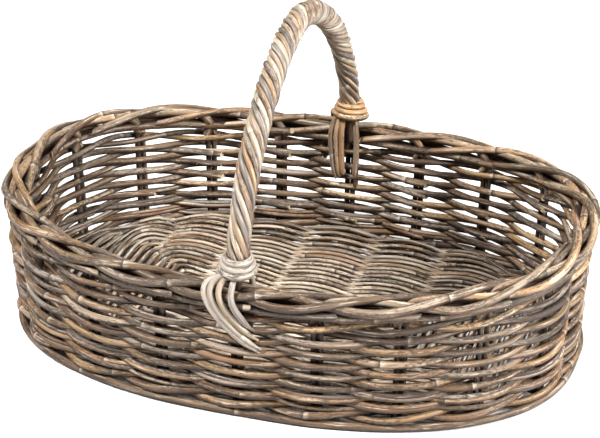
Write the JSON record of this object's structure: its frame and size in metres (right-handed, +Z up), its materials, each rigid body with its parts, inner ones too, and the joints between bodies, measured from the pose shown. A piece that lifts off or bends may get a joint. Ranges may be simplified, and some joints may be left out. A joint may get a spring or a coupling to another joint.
{
  "type": "wicker pet bed basket",
  "caption": "Oval woven rattan basket bed with open top, plaited border and a fixed roped handle arching over its width, for a pet to lie in.",
  "frame": {"origin": "middle of the underside, on the surface the basket stands on", "axes": "+X along the length, +Y across the width towards the handle's back foot, +Z up out of the basket"},
  "size_m": [0.7224, 0.5068, 0.4096],
  "materials": {
    "floor_rattan": "matt, peeled core rattan in close rounds, pale in the middle",
    "stake_rattan": "matt, dark brown to near black",
    "weaver_brown": "satin to matt, weathered, bark flecks and dark knuckle rings",
    "weaver_tan": "satin, light tan with streaks",
    "weaver_grey": "matt, grey-lilac weathered",
    "foot_rattan": "satin, golden brown, thick rods",
    "border_rattan": "satin, mixed tan and brown rods with grey patches",
    "handle_core_rattan": "matt, hidden inside the rope",
    "peeled_rattan": "smooth, slight gloss, whitish grey to tan with orange streaks",
    "golden_rattan": "smooth satin, golden tan"
  },
  "bodies": {
    "root": {"floor_mat": "floor_rattan", "cross_stake_1": "stake_rattan", "cross_stake_2": "stake_rattan", "cross_stake_3": "stake_rattan", "cross_stake_4": "stake_rattan", "cross_stake_5": "stake_rattan", "long_stake": "stake_rattan", "corner_stake_1": "stake_rattan", "corner_stake_2": "stake_rattan", "corner_stake_3": "stake_rattan", "corner_stake_4": "stake_rattan", "corner_stake_5": "stake_rattan", "corner_stake_6": "stake_rattan", "corner_stake_7": "stake_rattan", "corner_stake_8": "stake_rattan", "foot_ring": "foot_rattan", "foot_wale_1": "foot_rattan", "foot_wale_2": "foot_rattan", "side_weaver_01": "weaver_brown", "side_weaver_02": "weaver_tan", "side_weaver_03": "weaver_grey", "side_weaver_04": "weaver_brown", "side_weaver_05": "weaver_tan", "side_weaver_06": "weaver_grey", "side_weaver_07": "weaver_brown", "side_weaver_08": "weaver_tan", "side_weaver_09": "weaver_grey", "side_weaver_10": "weaver_brown", "side_weaver_11": "weaver_tan", "side_weaver_12": "weaver_grey", "side_weaver_13": "weaver_brown", "rim_wale_1": "weaver_brown", "rim_wale_2": "weaver_brown", "rolled_border": "border_rattan", "handle_core": "handle_core_rattan", "handle_strand_1": "peeled_rattan", "handle_strand_2": "peeled_rattan", "handle_strand_3": "peeled_rattan", "handle_strand_4": "peeled_rattan", "handle_strand_5": "peeled_rattan", "handle_strand_6": "peeled_rattan", "handle_strand_7": "peeled_rattan", "handle_strand_8": "peeled_rattan", "collar_front": "peeled_rattan", "collar_back": "golden_rattan", "lashing_front_1": "peeled_rattan", "lashing_front_2": "peeled_rattan", "lashing_front_3": "peeled_rattan", "lashing_front_4": "peeled_rattan", "lashing_back_1": "peeled_rattan", "lashing_back_2": "peeled_rattan", "lashing_back_3": "peeled_rattan", "lashing_back_4": "peeled_rattan"}
  },
  "joints": []
}
